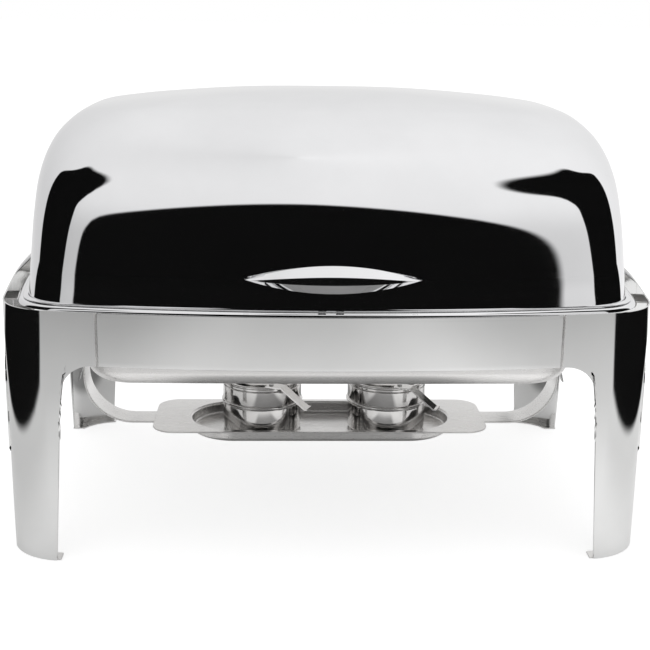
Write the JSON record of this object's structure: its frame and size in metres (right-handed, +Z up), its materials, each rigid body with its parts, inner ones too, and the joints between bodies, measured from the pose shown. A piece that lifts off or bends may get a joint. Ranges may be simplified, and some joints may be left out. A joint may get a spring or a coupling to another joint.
{
  "type": "roll-top chafing dish food warmer",
  "caption": "Rectangular roll-top chafing dish: domed lid on rear hinges, water pan with lift-out food pan, curved corner legs, and fuel burners on a recessed tray.",
  "frame": {"origin": "centre of the overall box at table level, under the middle of the dish", "axes": "+X to the right of the dish, +Y to its rear where the lid hinges, +Z up"},
  "size_m": [0.664, 0.518, 0.4627],
  "materials": {
    "mirror_steel": "mirror polish",
    "polished_steel": "polished with a faint grain",
    "satin_steel": "satin",
    "burner_steel": "spun",
    "fastener_steel": "machined",
    "fuel_tin": "plain tin"
  },
  "bodies": {
    "frame": {"apron_front": "polished_steel", "apron_hem_front": "polished_steel", "apron_hem_rear": "polished_steel", "apron_rear": "polished_steel", "bar_clips": "fastener_steel", "bar_hangers": "satin_steel", "burner_arm_left": "satin_steel", "burner_arm_right": "satin_steel", "burner_tray": "satin_steel", "deck": "satin_steel", "foot_front_left": "satin_steel", "foot_front_right": "satin_steel", "foot_rear_left": "satin_steel", "foot_rear_right": "satin_steel", "hinge_brackets": "satin_steel", "hinge_rivets": "fastener_steel", "leg_front_left": "polished_steel", "leg_front_right": "polished_steel", "leg_rear_left": "polished_steel", "leg_rear_right": "polished_steel", "pan_brackets": "satin_steel", "pan_rim": "mirror_steel", "side_panel_left": "polished_steel", "side_panel_right": "polished_steel", "water_pan": "satin_steel"},
    "lid": {"lid_shell": "mirror_steel", "lid_flange": "mirror_steel", "lid_handle": "mirror_steel", "handle_tips": "mirror_steel", "handle_posts": "fastener_steel", "handle_nuts": "fastener_steel", "hinge_straps": "satin_steel", "hinge_pins": "fastener_steel"},
    "food_pan": {"food_pan": "satin_steel"},
    "burner_left": {"burner_cup_left": "burner_steel", "burner_bead_left": "burner_steel", "burner_cap_left": "burner_steel", "fuel_can_left": "fuel_tin", "damper_hub_left": "fastener_steel"},
    "damper_left": {"damper_left": "burner_steel", "lever_left": "burner_steel", "lever_rivet_left": "fastener_steel"},
    "burner_right": {"burner_cup_right": "burner_steel", "burner_bead_right": "burner_steel", "burner_cap_right": "burner_steel", "fuel_can_right": "fuel_tin", "damper_hub_right": "fastener_steel"},
    "damper_right": {"damper_right": "burner_steel", "lever_right": "burner_steel", "lever_rivet_right": "fastener_steel"}
  },
  "joints": [
    {"name": "lid_hinge", "type": "hinge", "parent": "frame", "child": "lid", "pos_m": [0, 0.254, 0.274], "axis": [-1, 0, 0], "range_deg": [0, 95]},
    {"name": "food_pan_lift", "type": "slide", "parent": "frame", "child": "food_pan", "axis": [0, 0, 1], "range_m": [0, 0.1]},
    {"name": "burner_left_lift", "type": "slide", "parent": "frame", "child": "burner_left", "axis": [0, 0, 1], "range_m": [0, 0.03]},
    {"name": "damper_left_turn", "type": "hinge", "parent": "burner_left", "child": "damper_left", "pos_m": [-0.07, 0, 0.1294], "axis": [0, 0, -1], "range_deg": [0, 90]},
    {"name": "burner_right_lift", "type": "slide", "parent": "frame", "child": "burner_right", "axis": [0, 0, 1], "range_m": [0, 0.03]},
    {"name": "damper_right_turn", "type": "hinge", "parent": "burner_right", "child": "damper_right", "pos_m": [0.076, 0, 0.1294], "axis": [0, 0, -1], "range_deg": [0, 90]}
  ]
}
